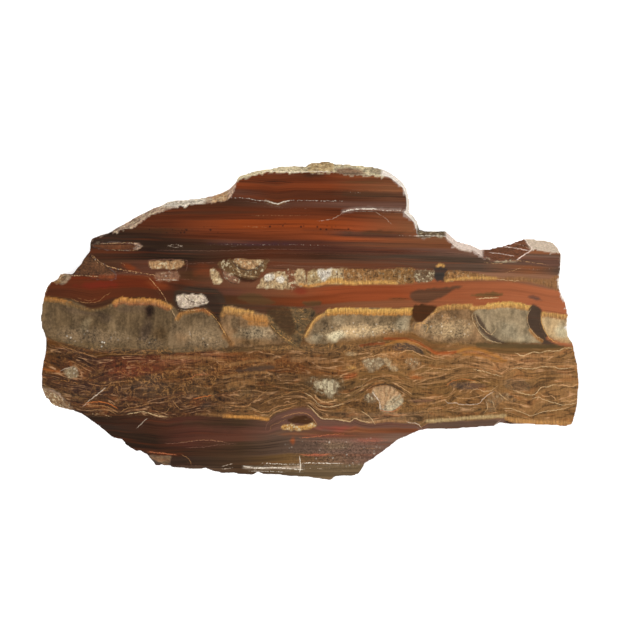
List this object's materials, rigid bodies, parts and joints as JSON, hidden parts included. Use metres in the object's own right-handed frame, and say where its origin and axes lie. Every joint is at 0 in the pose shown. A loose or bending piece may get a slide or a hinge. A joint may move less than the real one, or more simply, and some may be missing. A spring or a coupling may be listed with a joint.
{
  "type": "tiger eye jasper slab",
  "caption": "Flat sawn slab of banded tiger eye jasper with a polished show face, a broken natural rim and a flat sawn back, for display or for cutting.",
  "frame": {"origin": "middle of the slab's outline, on its flat sawn back", "axes": "+X along the slab's length, to the right in the picture; +Y across it, to the top of the picture; +Z out of the polished show face"},
  "size_m": [0.22, 0.1304, 0.007],
  "materials": {
    "polished_jasper": "polished banded red, brown and gold stone with a rough broken rim"
  },
  "bodies": {
    "root": {"slab": "polished_jasper"}
  },
  "joints": []
}
